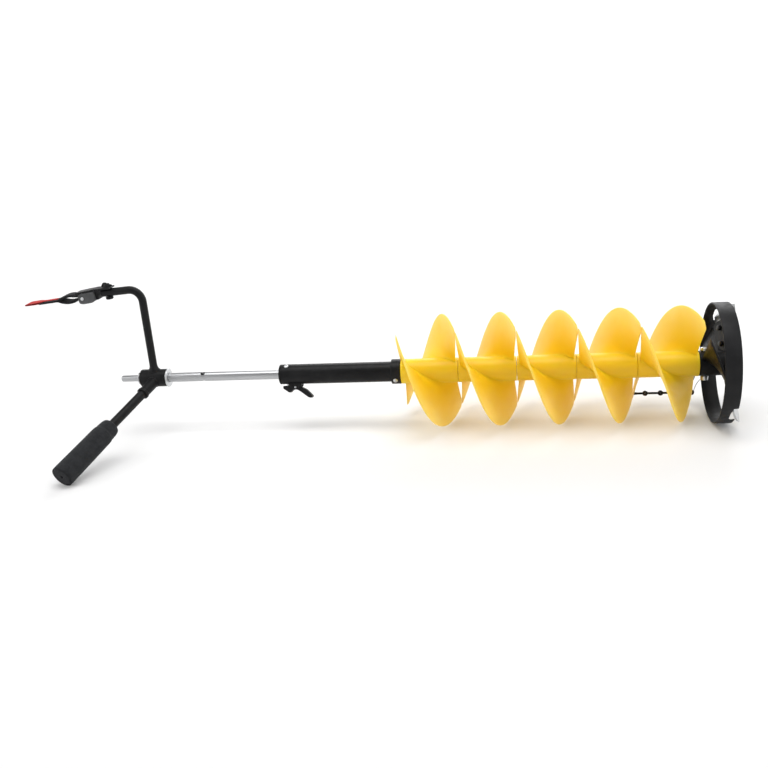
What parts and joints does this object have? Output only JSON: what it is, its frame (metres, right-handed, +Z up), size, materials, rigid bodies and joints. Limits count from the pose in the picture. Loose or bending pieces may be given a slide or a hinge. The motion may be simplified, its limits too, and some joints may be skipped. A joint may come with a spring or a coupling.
{
  "type": "ice auger",
  "caption": "Drill-driven ice auger with stacked nylon flights, telescoping rod, free-turning brace handle, bladed head and ring blade guard.",
  "frame": {"origin": "middle of the bounding box, on the ground under the lying auger", "axes": "+X along the shaft towards the cutting head, +Z up, the side grip towards -Y"},
  "size_m": [1.239, 0.3498, 0.2835],
  "materials": {
    "yellow_nylon": "moulded yellow nylon, slightly see-through, satin",
    "black_paint": "satin black powder coat",
    "black_plastic": "moulded black plastic",
    "bright_steel": "zinc plated steel",
    "silver_rod": "drawn steel, satin",
    "blade_steel": "ground steel",
    "black_steel": "blackened screw steel",
    "bronze": "sintered bronze",
    "foam_grip": "dense foam rubber, matte",
    "rubber": "moulded rubber",
    "webbing": "woven black webbing",
    "red_tab": "red woven tab",
    "grey_plastic": "grey moulded plastic"
  },
  "bodies": {
    "auger": {"flight_module_1": "yellow_nylon", "flight_module_2": "yellow_nylon", "flight_module_3": "yellow_nylon", "flight_module_4": "yellow_nylon", "flight_module_5": "yellow_nylon", "core_shaft": "bright_steel", "drive_tube": "black_paint", "collar": "black_paint", "collar_screw_1": "bright_steel", "collar_screw_2": "bright_steel", "guide_bush": "black_plastic", "tube_screw": "bright_steel", "lever_bracket": "black_paint", "lever_pivot_pin": "bright_steel", "lever_spring": "bright_steel", "cutting_head": "black_paint", "head_bolt": "bright_steel", "blade_1": "blade_steel", "blade_2": "blade_steel", "blade_screw_1": "black_steel", "blade_screw_2": "black_steel", "blade_screw_3": "black_steel", "blade_screw_4": "black_steel"},
    "lever": {"release_lever": "black_plastic", "detent_pin": "bright_steel"},
    "rod": {"extension_rod": "silver_rod", "drill_shank": "silver_rod", "shank_pin": "bright_steel", "retaining_clip": "bright_steel", "thrust_flange": "bright_steel"},
    "handle": {"handle_frame": "black_paint", "hub_bushing": "bronze", "side_rod": "black_paint", "grip": "foam_grip", "bracket_bolt": "black_paint"},
    "strap_mount": {"strap_bracket": "black_plastic", "strap_buckle": "grey_plastic", "buckle_rivet": "bright_steel", "drill_strap": "webbing", "pull_tab": "red_tab"},
    "knob": {"wing_knob": "black_plastic"},
    "guard": {"blade_guard": "black_plastic", "guard_strap": "rubber", "guard_hook": "bright_steel"}
  },
  "joints": [
    {"name": "rod_slide", "type": "slide", "parent": "auger", "child": "rod", "axis": [1, 0, 0], "range_m": [0, 0.1575]},
    {"name": "handle_spin", "type": "hinge", "parent": "rod", "child": "handle", "pos_m": [-0.4012, 0.07341, 0.1017], "axis": [1, 0, 0], "continuous": true},
    {"name": "lever_press", "type": "hinge", "parent": "auger", "child": "lever", "pos_m": [-0.1362, 0.06538, 0.07962], "axis": [0, -0.9397, 0.342], "range_deg": [0, 15], "stiffness_Nm_per_rad": 0.4, "springref_deg": -5.73},
    {"name": "strap_swivel", "type": "hinge", "parent": "handle", "child": "strap_mount", "pos_m": [-0.4622, 0.07341, 0.26552], "axis": [-0.0683, 0, 0.9977], "range_deg": [-75, 75]},
    {"name": "knob_turn", "type": "hinge", "parent": "strap_mount", "child": "knob", "pos_m": [-0.4622, 0.07341, 0.26552], "axis": [-0.0683, 0, 0.9977], "continuous": true},
    {"name": "guard_slide", "type": "slide", "parent": "auger", "child": "guard", "axis": [1, 0, 0], "range_m": [0, 0.06]}
  ]
}
